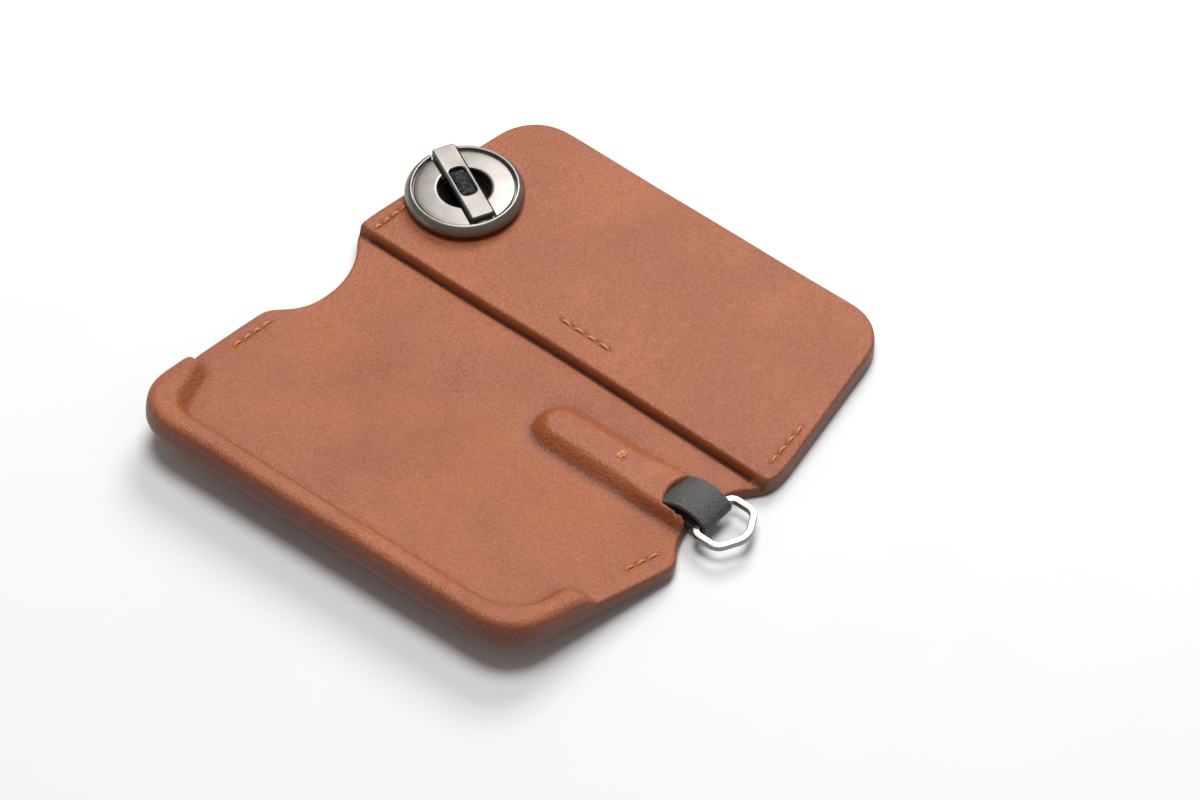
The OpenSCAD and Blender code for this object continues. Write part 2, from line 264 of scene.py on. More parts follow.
# Elastic, rubber strands in a braided polyester cover: dull black with grey hairs
ELASTIC = twisted_yarn("elastic_braided_polyester", "#040404", "#161617",
                       yarn_mm=0.30, relief_mm=0.12, roughness=0.85)
# The same yarn where it frays, painted lighter as a highlight, so that single hairs of 0.03 mm
# show
HAIRS_PAINTED_HIGHLIGHT = twisted_yarn("polyester_yarn_frayed_painted_highlight", "#2a2a2b", "#8c8c8e",
                     yarn_mm=0.2, relief_mm=0.02, roughness=0.6)
# Polyester thread, twisted and waxed: a lighter orange than the hide
THREAD = twisted_yarn("polyester_thread_waxed", "#b9683d", "#dc9a6a",
                      yarn_mm=0.25, relief_mm=0.06, roughness=0.5)
# Fibre board and foam, cut to shape and glued in between the hides: matte and speckled
BOARD = pressed_stock("fibre_board_pressed", "#6b6055", "#7d7166", speck_mm=0.8, relief_mm=0.02)
FOAM = pressed_stock("foam_core_cut", "#1d1d1e", "#2c2c2d", speck_mm=0.5, relief_mm=0.03)
# Paper sweep under the cover: plain white and matte
PAPER = pressed_stock("paper_sweep_matte", "#d8d8d8", "#dadada", speck_mm=30, relief_mm=0.0)


# --------------------------------------------------------------- meshing
def make_piece(name, verts, faces, material, body=None, painted_shade_and_edge_dye=None):
    """One smooth-shaded mesh object in metres, riding on a body of the frame."""
    mesh = bpy.data.meshes.new(name)
    mesh.from_pydata([tuple(v) for v in verts], [], [tuple(int(i) for i in f) for f in faces])
    mesh.materials.append(material)
    mesh.shade_smooth()
    # a per-point mask of painted shade, and of edge dye along the outline
    if painted_shade_and_edge_dye is not None:
        attribute = mesh.attributes.new("painted_shade_and_edge_dye", "FLOAT", "POINT")
        attribute.data.foreach_set("value", np.asarray(painted_shade_and_edge_dye, np.float32))
    mesh.validate()
    piece = bpy.data.objects.new(name, mesh)
    bpy.context.scene.collection.objects.link(piece)
    if body:
        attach(piece, body)
    return piece


def facing_out(piece):
    """Turns every face of a closed piece outwards."""
    bm = bmesh.new()
    bm.from_mesh(piece.data)
    bmesh.ops.recalc_face_normals(bm, faces=bm.faces)
    bm.to_mesh(piece.data)
    bm.free()
    return piece


def applied(obj, *modifiers):
    """Adds modifiers and keeps their result as the mesh."""
    for kind, settings in modifiers:
        modifier = obj.modifiers.new(kind.lower(), kind)
        for name, value in settings.items():
            setattr(modifier, name, value)
    bpy.context.view_layer.update()
    finished = obj.evaluated_get(bpy.context.evaluated_depsgraph_get())
    shape = bpy.data.meshes.new_from_object(finished)
    obj.modifiers.clear()
    obj.data = shape
    return obj


def filleted(corners, step=0.5):
    """Closed line through corners (x, y, radius), each turned into an arc."""
    points, count = [], len(corners)
    for i, (x, y, r) in enumerate(corners):
        b = np.array([x, y], float)
        if not r:
            points.append(b)
            continue
        a, c = (np.array(corners[(i + k) % count][:2], float) for k in (-1, 1))
        u, v = (a - b) / np.linalg.norm(a - b), (c - b) / np.linalg.norm(c - b)
        half = math.acos(np.clip(u @ v, -1, 1)) / 2
        centre = b + (u + v) / np.linalg.norm(u + v) * r / math.sin(half)
        p, q = b + u * r / math.tan(half) - centre, b + v * r / math.tan(half) - centre
        start = math.atan2(p[1], p[0])
        turn = (math.atan2(q[1], q[0]) - start + math.pi) % (2 * math.pi) - math.pi
        steps = max(4, int(abs(turn) * r / step))
        angles = [start + turn * k / steps for k in range(steps + 1)]
        points += [centre + r * np.array([math.cos(w), math.sin(w)]) for w in angles]
    return np.array(points)


def even(line, step, closed=True):
    """The same line with points a step apart."""
    pts = np.vstack([line, line[:1]]) if closed else np.asarray(line, float)
    at = np.concatenate([[0], np.cumsum(np.linalg.norm(np.diff(pts, axis=0), axis=1))])
    count = max(4, int(round(at[-1] / step)))
    want = np.linspace(0, at[-1], count + 1)[:-1 if closed else None]
    return np.stack([np.interp(want, at, pts[:, k]) for k in range(pts.shape[1])], 1)


def soften(line, times):
    """A closed line averaged with its neighbours, over and over."""
    for _ in range(times):
        line = 0.25 * np.roll(line, 1, 0) + 0.5 * line + 0.25 * np.roll(line, -1, 0)
    return line


BATCH = 4000    # points compared with a whole line at once


def distance_to_line(points, line, closed=True):
    """Shortest distance from each point to a line of segments."""
    a = line if closed else line[:-1]
    b = np.roll(line, -1, 0) if closed else line[1:]
    best = np.full(len(points), 1e9)
    ab = b - a
    size = (ab ** 2).sum(1) + 1e-12
    for k in range(0, len(points), BATCH):
        p = points[k:k + BATCH, None]
        t = np.clip(((p - a) * ab).sum(2) / size, 0, 1)
        best[k:k + BATCH] = np.sqrt((((a + t[..., None] * ab) - p) ** 2).sum(2).min(1))
    return best


def inside_line(points, line):
    """Which points lie inside a closed line."""
    x, y = points[:, :1], points[:, 1:]
    ax, ay = line[:, 0], line[:, 1]
    bx, by = np.roll(ax, -1), np.roll(ay, -1)
    crosses = ((ay > y) != (by > y)) & (x < (bx - ax) * (y - ay) / (by - ay + 1e-12) + ax)
    return crosses.sum(1) % 2 == 1


# ------------------------------------------------------- the cover's form
def notch(centre, radius, y_from, y_to, side):
    """Arc of a round notch in the right (1) or left (-1) edge, between two heights."""
    ends = [math.atan2(y - centre[1], side * -math.sqrt(radius ** 2 - (y - centre[1]) ** 2))
            for y in (y_from, y_to)]
    if side > 0 > ends[0]:
        ends[0] += 2 * math.pi
    return [(centre[0] + radius * math.cos(a), centre[1] + radius * math.sin(a), 0)
            for a in np.linspace(ends[0], ends[1], 30)]


OUTLINE = filleted(
    [(44.5, -11.8, 2.5)] + notch((54.0, -0.6), 14.7, -8.2, 10.9, 1)
    + [(45.3, 14.6, 8), (39.0, 51.0, 9), (-39.0, 50.4, 9), (-44.6, 13.6, 8)]
    + notch((-54.5, -1.8), 15.7, 10.3, -13.3, -1)
    + [(-43.8, -48.9, 9), (37.8, -46.3, 9)])
OUTLINE = soften(even(OUTLINE, 0.5), 14)
# Foot of the ridge, on its inner side: beyond it the leather rises to the flap's free edge.
# The line closes far outside the cover.
FOOT = even(filleted([
    (-60, 80, 0), (-60, -29.6, 0), (-39.6, -31.4, 4.5), (-35.4, -42.8, 3.5),
    (29.5, -40.6, 6.5), (34.2, -36.5, 6), (34.9, -28.4, 2.6), (60, -27.2, 0), (60, 80, 0)]), 0.5)

# rows of stitches: from, to, how many
STITCHES = {
    "back": [((-41.9, 12.0), (-41.3, 20.0), 4), ((42.5, 14.6), (41.5, 24.6), 4),
             ((-4.5, 16.6), (6.6, 16.6), 4)],
    "flap": [((-41.2, -15.0), (-41.2, -24.6), 4), ((40.6, -11.6), (39.2, -19.0), 3)],
}
HOLES = (0.14, 0.86)    # where a stitch starts and stops in its share of the row


def stitch_ends(rows):
    """The two holes of every stitch in some rows."""
    for start, stop, count in rows:
        a, b = np.array(start), np.array(stop)
        for i in range(count):
            yield tuple(a + (b - a) * (i + hole) / count for hole in HOLES)


def all_stitches():
    return list(stitch_ends(STITCHES["back"])) + list(stitch_ends(STITCHES["flap"]))


def mouth_x(y):
    """The curved edge of the inner leather where the strap comes out."""
    return 33.4 + 0.1 * y ** 2


def bell(t):
    """One at nought, falling away on both sides."""
    return np.exp(-t ** 2)


def moulding(p):
    """Height of the inner leather, how far its rim is rounded, and how burnished it is."""
    x, y = p[:, 0], p[:, 1]
    height = np.full(len(p), LEATHER)
    painted_shade_and_edge_dye = np.zeros(len(p))
    # the back panel's raised field: a rounded lip over a narrow groove, the groove darkened with
    # painted shade
    lip = STEP_Y + 0.1 + 0.25 * bell((x - 2) / 26)
    height += BOARD_RISE * smooth((y - lip + 0.02) / 0.75) + 0.2 * bell((y - lip - 1.3) / 0.9)
    height -= 0.5 * bell((y - lip + 0.2) / 0.27)
    height -= 0.22 * bell((y - lip + 1.0) / 1.1) * (y < lip)
    painted_shade_and_edge_dye += 0.97 * bell((y - lip + 0.12) / 0.36) + 0.16 * bell((y - lip + 0.4) / 1.1)
    # the bulge over the strap's tail, with painted shade round its foot, heavier on its lower side
    spine_y = -1.0 + 0.02 * (x - 10)
    away_from = np.hypot(x - np.clip(x, 11.2, 60), y - spine_y)
    softness = (3.1 - 1.0 * smooth((x - 24) / 9)
                + 0.7 * smooth((y - spine_y) / 3) * smooth((34 - x) / 9))
    height += BULGE_RISE * smooth((BULGE_HALF_W - away_from) / softness)
    foot = bell((away_from - 5.3) / 0.9) * (x < 40)
    height -= 0.14 * foot
    painted_shade_and_edge_dye += foot * (0.16 + 0.42 * smooth((spine_y - y + 1) / 4))
    # the ridge round the flap's free edge, with painted shade along its inner foot
    edge = distance_to_line(p, FOOT)
    outside = np.where(inside_line(p, FOOT), -edge, edge)
    ridge = smooth((outside + 0.3) / 2.9) * np.where(x < -30, smooth((-28.8 - y) / 5.5), 1)
    height += (RIDGE_RISE + 0.25 * smooth((outside - 1) / 3)) * ridge
    toe = bell((outside + 0.05) / 0.75)
    height -= 0.12 * toe
    painted_shade_and_edge_dye += 0.22 * toe
    # the leather is never quite flat
    height += 0.10 * np.sin(x / 13 + 1) * np.sin(y / 11 + 0.5) + 0.05 * np.sin(x / 5.3 + y / 7.1)
    # each stitch pulls the leather down, and the dip is darkened
    for a, b in all_stitches():
        near = np.hypot(x - (a[0] + b[0]) / 2, y - (a[1] + b[1]) / 2) < 4
        if not near.any():
            continue
        q = p[near]
        gap = distance_to_line(q, np.array([a, b]), closed=False)
        dip = 0.14 * bell(gap / 0.55)
        for end in (a, b):
            dip += 0.22 * bell(np.hypot(*(q - end).T) / 0.35)
        height[near] -= dip
        painted_shade_and_edge_dye[near] += dip * 1.2
    return height, 0.6 + 1.2 * ridge, np.clip(painted_shade_and_edge_dye, 0, 1)


def channel(p, height):
    """The strap's way out, cut down to the outer leather."""
    x, y = p[:, 0], p[:, 1]
    opened = smooth((x - mouth_x(y) + 0.07) / 0.14) * smooth((CHANNEL_HALF_W - np.abs(y)) / 0.14)
    return height * (1 - opened) + CHANNEL_Z * opened, opened


def rim_drop(inset, radius):
    """How far a rounded rim lies below its flat, an inset from the edge."""
    inner = np.clip(radius - inset, 0, None)
    return radius - np.sqrt(np.clip(radius ** 2 - inner ** 2, 0, None))


def inwards(line):
    """Unit steps to the inside from each point of a closed line."""
    tangent = np.roll(line, -1, 0) - np.roll(line, 1, 0)
    tangent /= np.linalg.norm(tangent, axis=1)[:, None]
    return np.stack([-tangent[:, 1], tangent[:, 0]], 1)


def lifted(p):
    """The flap stands up a little from the table, with a soft bend at the spine."""
    p = np.array(p, float)
    w = smooth((-3.0 - p[:, 1]) / 9.0)
    angle = -LIFT * w
    y, z = p[:, 1] + BEND_Y, p[:, 2] - LEATHER
    p[:, 1] = y * np.cos(angle) - z * np.sin(angle) - BEND_Y
    p[:, 2] = y * np.sin(angle) + z * np.cos(angle) + LEATHER
    return p


def triangulated(rings, extra, cut):
    """Triangles over rings of closed lines and loose points, with an edge along y = 0."""
    points = [tuple(p) for ring in rings for p in ring]
    edges, at = [], 0
    for ring in rings:
        edges += [(at + i, at + (i + 1) % len(ring)) for i in range(len(ring))]
        at += len(ring)
    points += [tuple(p) for p in extra]
    at = len(points)
    points += [tuple(p) for p in cut]
    edges += [(at + i, at + i + 1) for i in range(len(cut) - 1)]
    placed, _, faces, *_ = delaunay_2d_cdt([Vector(p) for p in points], edges, [], 1, 1e-7)
    return np.array([tuple(p) for p in placed]), [tuple(t) for t in faces]


def top_points(fine):
    """Points over the inner leather: a field, and closer ones wherever its height changes fast."""
    rows = np.arange(-60, 60, fine * 0.87)
    field = np.array([(x + (i % 2) * fine / 2, y)
                      for i, y in enumerate(rows) for x in np.arange(-50, 52, fine)])
    y = field[:, 1]
    field = field[(np.abs(y) > 0.3) & ~((y > STEP_Y - 1.3) & (y < STEP_Y + 1.7))]
    step = [(x, STEP_Y + dy) for dy in (-1.15, -0.8, -0.5, -0.32, -0.18, -0.06, 0.06, 0.18, 0.3,
                                        0.42, 0.56, 0.72, 0.9, 1.15, 1.45)
            for x in np.arange(-50, 50, fine)]
    mouth = [(mouth_x(y) + dx, y) for dx in (-0.08, 0.0, 0.08)
             for y in np.arange(-3.9, 3.91, 0.2) if abs(y) > 0.15]
    sides = [(x, s * (3.93 + dy)) for dy in (-0.08, 0.0, 0.08) for s in (-1, 1)
             for x in np.arange(35.0, 43, 0.25)]
    round_stitches = []
    for a, b in all_stitches():
        mid = (a + b) / 2
        near = [mid + (u, v) for u in np.arange(-1.9, 2, 0.26) for v in np.arange(-1.9, 2, 0.26)]
        gaps = distance_to_line(np.array(near), np.array([a, b]), closed=False)
        round_stitches += [tuple(q) for q, gap in zip(near, gaps) if gap < 0.95]
    special = np.array(mouth + sides + round_stitches)
    free = np.ones(len(field), bool)
    for k in range(0, len(field), BATCH):
        gap = ((field[k:k + BATCH, None] - special) ** 2).sum(2).min(1)
        free[k:k + BATCH] = gap > 0.2 ** 2
    return np.vstack([field[free], np.array(step), special])


def within(points, line, gap):
    """Those points that lie inside a closed line and further than a gap from it."""
    return points[inside_line(points, line) & (distance_to_line(points, line) > gap)]


def cover_mesh():
    """The cover in plan: triangles over its top, and fewer over its underside."""
    fine = 0.5
    inward = inwards(OUTLINE)
    rings = [OUTLINE + inward * s for s in (0, 0.07, 0.18, 0.36, 0.62, 0.95, 1.4, 1.95)]
    left, right = [
        np.interp(0, *zip(*sorted([(p[1], p[0]) for p in OUTLINE
                                   if abs(p[1]) < 2 and p[0] * s > 0]))) for s in (-1, 1)]
    cut = [(x, 0.0) for x in np.arange(left + 2.2, right - 2.2, fine)]
    top, top_faces = triangulated(rings, within(top_points(fine), rings[-1], 0.22), cut)
    low_rings = [OUTLINE, OUTLINE + inward * 0.16, OUTLINE + inward * 0.55]
    coarse = np.array([(x, y) for y in np.arange(-60, 60, 1.4) for x in np.arange(-50, 52, 1.4)])
    low_cut = [(x, 0.0) for x in np.arange(-37, 37, 1.4)]
    bottom, bottom_faces = triangulated(low_rings, within(coarse, low_rings[-1], 0.6), low_cut)
    return top, top_faces, bottom, bottom_faces


def build_cover():
    """The whole leather skin, made in one and then divided along the middle of the spine."""
    top, top_faces, bottom, bottom_faces = cover_mesh()
    inset = distance_to_line(top, OUTLINE)
    height, rim, painted_shade_and_edge_dye = moulding(top)
    height, opened = channel(top, height)
    z = height - rim_drop(inset, rim)
    # darker along the outline, partly real edge dye and partly painted shade, and painted shade in
    # the strap's channel
    painted_shade_and_edge_dye = np.clip(painted_shade_and_edge_dye + 0.6 * np.exp(-(inset / 0.3) ** 2) + 0.8 * opened, 0, 1)
    low_inset = distance_to_line(bottom, OUTLINE)
    low_z = rim_drop(low_inset, np.full(len(bottom), 0.5))
    count = len(top)
    verts = np.vstack([np.column_stack([top, z]), np.column_stack([bottom, low_z])])
    # the underside darkened towards its edge: partly edge dye, partly painted shade
    shade = np.concatenate([painted_shade_and_edge_dye, 0.5 * np.exp(-(low_inset / 0.5) ** 2)])
    faces = [list(f) for f in top_faces] + [[count + i for i in reversed(f)] for f in bottom_faces]
    # the wall between the two outlines, with two lines part way up; the wall is darkened, partly
    # real edge dye and partly painted shade
    ring = len(OUTLINE)
    lower = [count + i for i in range(ring)]
    levels = [list(range(ring))]
    for part in (0.72, 0.35):
        start = len(verts)
        wall = np.column_stack([OUTLINE, verts[:ring, 2] * part + verts[lower, 2] * (1 - part)])
        wall[:, :2] -= inwards(OUTLINE) * 0.07
        verts = np.vstack([verts, wall])
        shade = np.concatenate([shade, np.full(ring, 0.75)])
        levels.append(list(range(start, start + ring)))
    levels.append(lower)
    for a, b in zip(levels, levels[1:]):
        faces += [[a[i], b[i], b[(i + 1) % ring], a[(i + 1) % ring]] for i in range(ring)]
    plan_y = np.concatenate([top, bottom, np.tile(OUTLINE, (2, 1))])[:, 1]
    middle = np.array([np.mean(plan_y[f]) for f in faces])
    verts = lifted(verts)
    made = []
    for name, wanted in (("cover_back", middle > 0), ("cover_front", middle <= 0)):
        mine = [f for f, m in zip(faces, wanted) if m]
        used = sorted({i for f in mine for i in f})
        new = {old: k for k, old in enumerate(used)}
        made.append(make_piece(name, world(verts[used]), [[new[i] for i in f] for f in mine], TAN,
                               painted_shade_and_edge_dye=shade[used]))
    return made


def surface_z(points):
    """Top of the inner leather under plan points, before the flap is lifted."""
    return moulding(np.array(points, float))[0]


cover_back, cover_front = build_cover()
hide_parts("outer_back", "lining_back")
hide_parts("outer_spine", "lining_spine", "outer_flap", "lining_flap")
world([(0, 10.2, 2.6)])[0]
world([(0, 4.8, 2.6)])[0]
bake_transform(cover_back)
world([(0, -4.8, 2.6)])[0]
world([(0, -10.2, 2.6)])[0]
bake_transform(cover_front)


# ------------------------------------------------------------- swept forms
def joined(ring_a, ring_b, size):
    """Faces between two rings of the same size, given by their numbers."""
    return [[ring_a * size + k, ring_a * size + (k + 1) % size,
             ring_b * size + (k + 1) % size, ring_b * size + k] for k in range(size)]


def swept(name, path, section, material, closed=False, side=None, widths=None, body=None):
    """A closed section of (across, up) points carried along a path."""
    path = np.asarray(path, float)
    count = len(path)
    if closed:
        tangent = np.roll(path, -1, 0) - np.roll(path, 1, 0)
    else:
        tangent = np.gradient(path, axis=0)
    tangent /= np.linalg.norm(tangent, axis=1)[:, None]
    if side is None:
        across = np.cross(tangent, (0, 0, 1))
    else:
        across = np.tile(np.array(side, float), (count, 1))
    across /= np.linalg.norm(across, axis=1)[:, None]
    up = np.cross(across, tangent)
    verts, faces, size = [], [], len(section)
    for i in range(count):
        w = 1 if widths is None else widths[i]
        verts += [path[i] + across[i] * a * w + up[i] * b for a, b in section]
    for i in range(count if closed else count - 1):
        faces += joined(i, (i + 1) % count, size)
    if not closed:
        faces += [list(range(size)), [(count - 1) * size + k for k in reversed(range(size))]]
    return facing_out(make_piece(name, world(verts), faces, material, body))


def rounded_section(half_w, half_h, r, steps=5):
    """A box with rounded corners, drawn round its middle."""
    return filleted([(-half_w, -half_h, r), (half_w, -half_h, r),
                     (half_w, half_h, r), (-half_w, half_h, r)], r * 1.6 / steps)


def circle(radius, count):
    turns = np.linspace(0, 2 * math.pi, count + 1)[:-1]
    return [(radius * math.cos(a), radius * math.sin(a)) for a in turns]


def spline(points, step):
    """Smooth line through points, evenly spaced."""
    p = np.array(points, float)
    p = np.vstack([2 * p[0] - p[1], p, 2 * p[-1] - p[-2]])
    out = []
    for i in range(1, len(p) - 2):
        for t in np.linspace(0, 1, 24, endpoint=False):
            a, b, c, d = p[i - 1:i + 3]
            out.append(0.5 * (2 * b + (c - a) * t + (2 * a - 5 * b + 4 * c - d) * t ** 2
                              + (3 * b - a - 3 * c + d) * t ** 3))
    out.append(p[-2])
    return even(np.array(out), step, closed=False)


def thread_stitch(name, a, b, body, high=0.2, radius=0.22):
    """One stitch: it rises from a hole, lies on the leather and dives into the next hole."""
    t = np.linspace(0, 1, 11)
    line = a + (b - a) * t[:, None]
    z = surface_z(line) + high * np.sin(math.pi * t) ** 0.6
    z -= 0.35 * (np.abs(2 * t - 1) ** 6)
    path = np.column_stack([line, z])
    if body == "front_flap":
        path = lifted(path)
    return swept(name, path, circle(radius, 10), THREAD, body=body)


for group, body in (("back", "back_panel"), ("flap", "front_flap")):
    for number, (a, b) in enumerate(stitch_ends(STITCHES[group])):
        turned = np.array([0.08 * math.sin(number * 2.1), 0.08 * math.cos(number * 1.7)])
        piece = thread_stitch(f"stitch_{group}_{number:02d}", a + turned, b - turned, body)
        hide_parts("stitches_" + group)
# the bar tack on the bulge: three threads side by side, and one across them
for number, (x, lean) in enumerate(((22.6, 0.35), (23.0, 0.1), (23.4, 0.25))):
    piece = thread_stitch(f"bar_tack_{number}", np.array([x, -1.3]), np.array([x + lean, 0.75]),
                          "spine", high=0.1, radius=0.21)
    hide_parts("bar_tack")
piece = thread_stitch("bar_tack_cross", np.array([22.3, 0.15]), np.array([24.1, -0.35]),
                      "spine", high=0.24, radius=0.2)

# the strap: out of its mouth, over a low arch, round the ring's bar and back underneath
STRAP_TURN = 1.14       # from the middle of the ring's bar to the middle of the strap
round_bar = [(RING_X + STRAP_TURN * math.cos(a), RING_Z + STRAP_TURN * math.sin(a))
             for a in np.radians(np.linspace(58, -90, 11))]
strap_line = spline([(24, 2.55), (29, 2.6), (32.6, 2.75), (33.9, 3.35), (35.2, 4.3),
                     (37.2, 5.2), (39.4, 5.5), (41.2, 5.15)] + round_bar
                    + [(39.5, 2.2), (36, 1.95), (30, 1.85)], 0.3)
along = strap_line[:, 0]
strap_path = np.column_stack([along, np.zeros(len(along)), strap_line[:, 1]])
strap_width = 1 - 0.05 * smooth((along - 33) / 9) - 0.12 * smooth((33.6 - along) / 1.5)
strap_section = rounded_section(STRAP_HALF_W, STRAP_HALF_T, 0.28)
strap_section[:, 1] += 0.1 * (1 - (strap_section[:, 0] / STRAP_HALF_W) ** 2)
strap = swept("ring_strap_loop", strap_path, strap_section, CHARCOAL, side=(0, 1, 0),
              widths=strap_width, body="spine")
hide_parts("ring_strap")

# the ring: a flat band bent into a D, its corners eased by tumbling
ring_line = even(filleted([
    (RING_X, -4.95, 1.5), (RING_X + 5.1, -4.95, 2.3), (RING_X + 7.75, 0, 3.6),
    (RING_X + 5.1, 4.95, 2.3), (RING_X, 4.95, 1.5)], 0.2), 0.25)
ring_path = np.column_stack([ring_line, np.full(len(ring_line), RING_Z)])
ring = swept("d_ring_band", ring_path, rounded_section(0.62, 0.54, 0.14, 3), NICKEL, closed=True)
applied(ring, ("WEIGHTED_NORMAL", {"keep_sharp": True}))
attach(ring, "ring")
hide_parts("d_ring")


# the foam in the ridge, a strip laid along its middle and glued between the hides
foam_line = spline([(-40.9, -35.5), (-39.6, -40.2), (-37.6, -44.6), (-32, -45.9), (0, -44.5),
                    (27, -43.7), (34, -42.0), (37.2, -36.5), (38.0, -32.8)], 0.8)
foam_path = lifted(np.column_stack([foam_line, np.full(len(foam_line), 3.3)]))
foam = swept("ridge_foam", foam_path, rounded_section(1.2, 0.6, 0.35), FOAM, body="front_flap")
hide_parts("ridge_core")


# ----------------------------------------------------------- the key post
def post_frame(points):
    """Points in the bar's own directions (along, across, up) to plan millimetres."""
    p = np.asarray(points, float).reshape(-1, 3)
    c, s = math.cos(BAR_TURN), math.sin(BAR_TURN)
    return np.column_stack([POST[0] + p[:, 0] * c - p[:, 1] * s,
                            POST[1] + p[:, 0] * s + p[:, 1] * c, p[:, 2]])


def stacked(name, rings, material, body, to_metres=True):
    """Rings of equal length joined one to the next, and the last to the first."""
    size = len(rings[0])
    verts = np.vstack([post_frame(r) for r in rings])
    faces = [f for i in range(len(rings)) for f in joined(i, (i + 1) % len(rings), size)]
    placed = world(verts) if to_metres else verts
    return facing_out(make_piece(name, placed, faces, material, body))


def lathed(name, profile, z, count, material, body=None, to_metres=True):
    """A profile of (radius, height) points turned round the post's axis."""
    rings = [[(u, v, z + up) for u, v in circle(r, count)] for r, up in profile]
    return stacked(name, rings, material, body, to_metres)


DISC_Z = 4.5            # underside of the disc
DISC_FACETS = 192
# from the hole's lower edge, out under the disc, over its bright rim, into the groove inside
# the rim, and in over the dished face to the hole
DISC_PROFILE = [
    (4.6, 0.1), (4.75, 0), (9.2, 0), (9.8, 0.06), (10.1, 0.2), (10.25, 0.42), (10.3, 0.72),
    (10.26, 1.05), (10.12, 1.42), (9.88, 1.8), (9.62, 2.1), (9.44, 2.24), (9.3, 2.3), (9.1, 2.3),
    (9.0, 2.24), (8.95, 2.1), (8.93, 1.5), (8.86, 1.42), (8.68, 1.42), (8.6, 1.5), (8.58, 1.72),
    (8.5, 1.8), (7.8, 1.87), (6.6, 1.95), (5.2, 2.0), (4.9, 1.99), (4.72, 1.9), (4.62, 1.72),
    (4.6, 1.4)]
SLOT_HALF_W, SLOT_END = 2.5, 8.42       # the toggle lies in it; it runs out through the rim
slot_plan = [(-14, -SLOT_HALF_W), (SLOT_END, -SLOT_HALF_W), (SLOT_END, SLOT_HALF_W),
             (-14, SLOT_HALF_W)]
BOX_FACES = [(0, 3, 2, 1), (4, 5, 6, 7), (0, 1, 5, 4), (1, 2, 6, 5), (2, 3, 7, 6), (3, 0, 4, 7)]

# the slot is cut at a scale of 1 unit to the millimetre, where the cut is exact
slot = make_piece("slot_cutter", post_frame([(u, v, z) for z in (5.5, 9) for u, v in slot_plan]),
                  BOX_FACES, GUNMETAL)
disc = lathed("key_disc_dished", DISC_PROFILE, DISC_Z, DISC_FACETS, GUNMETAL, to_metres=False)
applied(disc, ("BOOLEAN", {"operation": "DIFFERENCE", "object": slot, "solver": "EXACT"}),
        ("BEVEL", {"width": 0.08, "segments": 2, "limit_method": "ANGLE",
                   "angle_limit": math.radians(48)}),
        ("WEIGHTED_NORMAL", {"keep_sharp": True}))
for vertex in disc.data.vertices:
    vertex.co = world([vertex.co])[0]
bpy.data.objects.remove(slot)
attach(disc, "disc")
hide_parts("key_disc")


def bar_ring(low_u, high_u, half_v, radius, z, inset):
    """Rounded oblong round the bar or its window, drawn in by an inset."""
    r = max(radius - inset, 0.12)
    shape = filleted([(low_u + inset, -half_v + inset, r), (high_u - inset, -half_v + inset, r),
                      (high_u - inset, half_v - inset, r), (low_u + inset, half_v - inset, r)], 9)
    return np.column_stack([shape, np.full(len(shape), z)])


BAR_Z = 5.85            # underside of the toggle bar
outer = [bar_ring(-9.6, 8.1, 2.15, 0.6, BAR_Z + z, i) for i, z in
         ((0.3, 0), (0.09, 0.09), (0, 0.3), (0, 1.2), (0.05, 1.42), (0.17, 1.55), (0.34, 1.6))]
window = [bar_ring(-4.1, 2.75, 1.4, 0.95, BAR_Z + z, -i) for i, z in
          ((0.3, 1.6), (0.14, 1.56), (0.03, 1.44), (0, 1.25), (0, 0.25), (0.12, 0.05), (0.3, 0))]
bar = stacked("toggle_bar_cast", outer + window, GUNMETAL, None)
applied(bar, ("WEIGHTED_NORMAL", {"keep_sharp": True}))
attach(bar, "toggle")
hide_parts("toggle_bar")

# a flat braided elastic: up from the rivet, through the disc, over the pin in the toggle's window
across = post_frame([(0, 1, 0)])[0] - post_frame([(0, 0, 0)])[0]
band = rounded_section(1.28, 0.5, 0.42)
loop_line = spline([
    (-3.6, 0, 5.0), (-3.65, 0, 5.6), (-3.5, 0, 6.2), (-2.6, 0, 6.78), (-1.3, 0, 6.95),
    (-0.3, 0, 6.98), (0.8, 0, 6.9), (1.7, 0, 6.65), (2.25, 0, 6.1), (2.3, 0, 5.6), (2.25, 0, 5.0)],
    0.22)
loop = swept("elastic_loop", post_frame(loop_line), band, ELASTIC, side=across)
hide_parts("cord_loop")
for end, u in enumerate((-3.6, 2.25)):
    run = spline([(u * 0.55, 0, 2.2), (u * 0.7, 0, 3.4), (u * 0.95, 0, 4.4), (u, 0, 5.2)], 0.22)
    piece = swept(f"elastic_run_{end}", post_frame(run), band, ELASTIC, side=across)
    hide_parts("elastic_cord")
    world(post_frame([(0, 0, 3.4)]))[0]
    world(post_frame([(0, 0, 5.0)]))[0]
    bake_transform(piece)

# a cup, black as painted shade, closes the eyelet round the elastic
CUP_PROFILE = [(0.05, 3.6), (0.05, 3.98), (1.5, 3.98), (2.6, 4.02), (3.1, 4.12), (3.3, 4.12),
               (3.3, 3.6)]
cup = lathed("rivet_cup", CUP_PROFILE, 0, DISC_FACETS // 3, BLACK_AS_SHADE, "post")

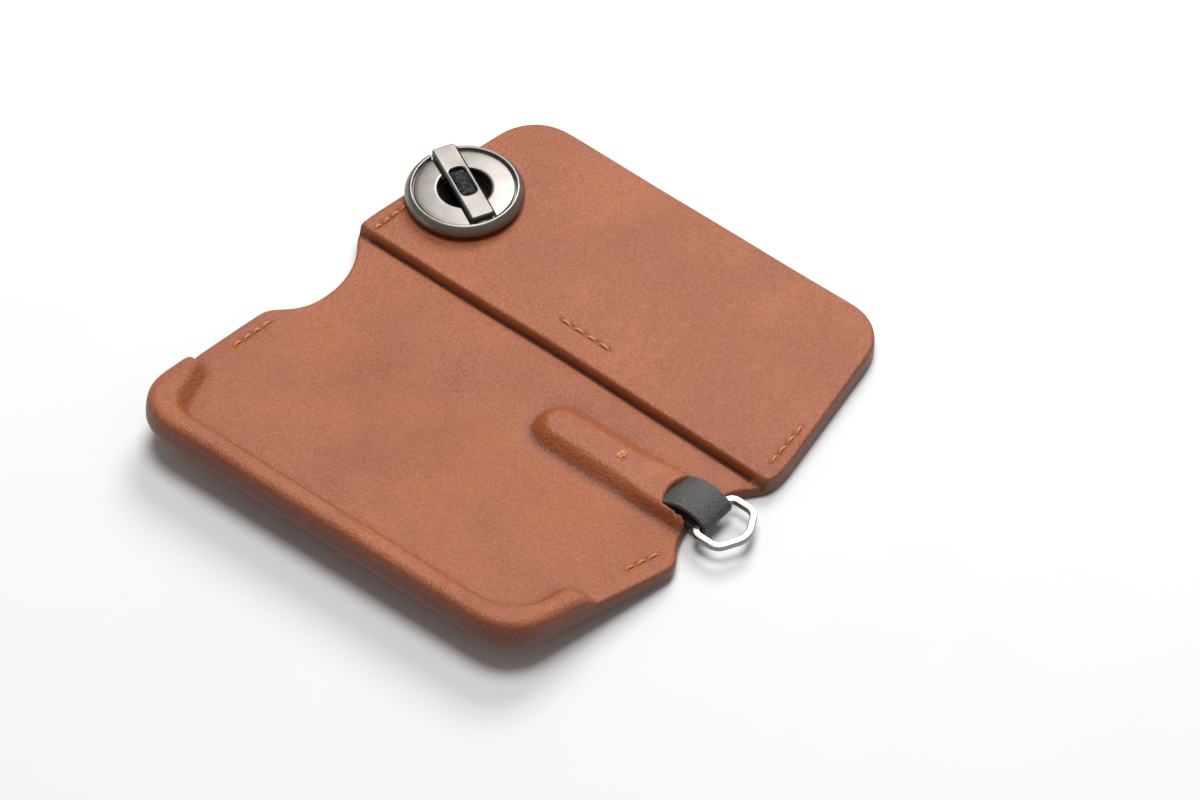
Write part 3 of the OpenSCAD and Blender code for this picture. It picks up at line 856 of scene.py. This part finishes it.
# loose hairs and the raised strands of the braid, where the loop shows in the window: each is
# a bent three-sided sliver through four points
HAIRS = 260
chance = np.random.default_rng(7)
hair_verts, hair_faces = [], []
for _ in range(HAIRS):
    u, v = chance.uniform(-3.5, 2.2), chance.uniform(-1.2, 1.2)
    z = 7.53 - 0.045 * (u + 0.5) ** 2 - 0.2 * v ** 2
    heading, length = chance.uniform(0, 2 * math.pi), chance.uniform(0.3, 0.8)
    dx, dy = math.cos(heading) * length / 2, math.sin(heading) * length / 2
    thick = chance.uniform(0.018, 0.035)
    start = len(hair_verts)
    for t in (-1, -0.3, 0.4, 1):
        rise = chance.uniform(0.0, 0.14) * (1 - t * t) - 0.04 * t * t
        mid = np.array([np.clip(u + dx * t, -3.9, 2.55), np.clip(v + dy * t, -1.33, 1.33),
                        z + rise])
        hair_verts += [mid + thick * np.array([-dy, dx, 0]) / length * 2 * k + (0, 0, up * thick)
                       for k, up in ((-1, 0), (0, 1.4), (1, 0))]
    hair_faces += [[start + corner for corner in face]
                   for i in range(3) for face in joined(i, i + 1, 3)]
# the hairs are lighter than the elastic: a painted highlight
hairs = make_piece("elastic_hairs", world(post_frame(hair_verts)), hair_faces, HAIRS_PAINTED_HIGHLIGHT)
for piece in (loop, hairs):
    world(post_frame([(0, 0, 5.1)]))[0]
    world(post_frame([(0, 0, 6.3)]))[0]
    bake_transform(piece)

# parts that stay as they come, inside the leather or under the disc, with finishes given here; the
# anchor and eyelet are black as painted shade
for name, material in (("back_board", BOARD), ("magnets_back", NICKEL), ("magnets_flap", NICKEL),
                       ("post_anchor", BLACK_AS_SHADE), ("post_eyelet", BLACK_AS_SHADE),
                       ("cross_pin", NICKEL)):
    part = frame["nodes"][name]
    part.data.materials.clear()
    part.data.materials.append(material)

# ----------------------------------------------------------------- studio
FLOOR_HALF, FLOOR_Z = 4, -0.00002       # metres; a hair below the leather
floor = make_piece("floor", [(x * FLOOR_HALF, y * FLOOR_HALF, FLOOR_Z)
                             for x, y in ((-1, -1), (1, -1), (1, 1), (-1, 1))],
                   [(0, 1, 2, 3)], PAPER)


def softbox(name, place, size, watts):
    """A round soft lamp turned towards the cover."""
    lamp = bpy.data.lights.new(name, "AREA")
    lamp.shape, lamp.size, lamp.energy = "DISK", size, watts
    obj = bpy.data.objects.new(name, lamp)
    bpy.context.scene.collection.objects.link(obj)
    look_from(obj, place, aim)


softbox("back_softbox", (-0.16, 0.40, 0.47), 0.34, 2.9)
softbox("top_softbox", (-0.05, 0.05, 1.3), 0.6, 11.6)
room = bpy.data.worlds.new("studio")
room.use_nodes = True
backdrop = room.node_tree.nodes["Background"]
backdrop.inputs["Color"].default_value = srgb("#ffffff")
backdrop.inputs["Strength"].default_value = 0.30
bpy.context.scene.world = room
bpy.context.scene.view_settings.view_transform = "Standard"
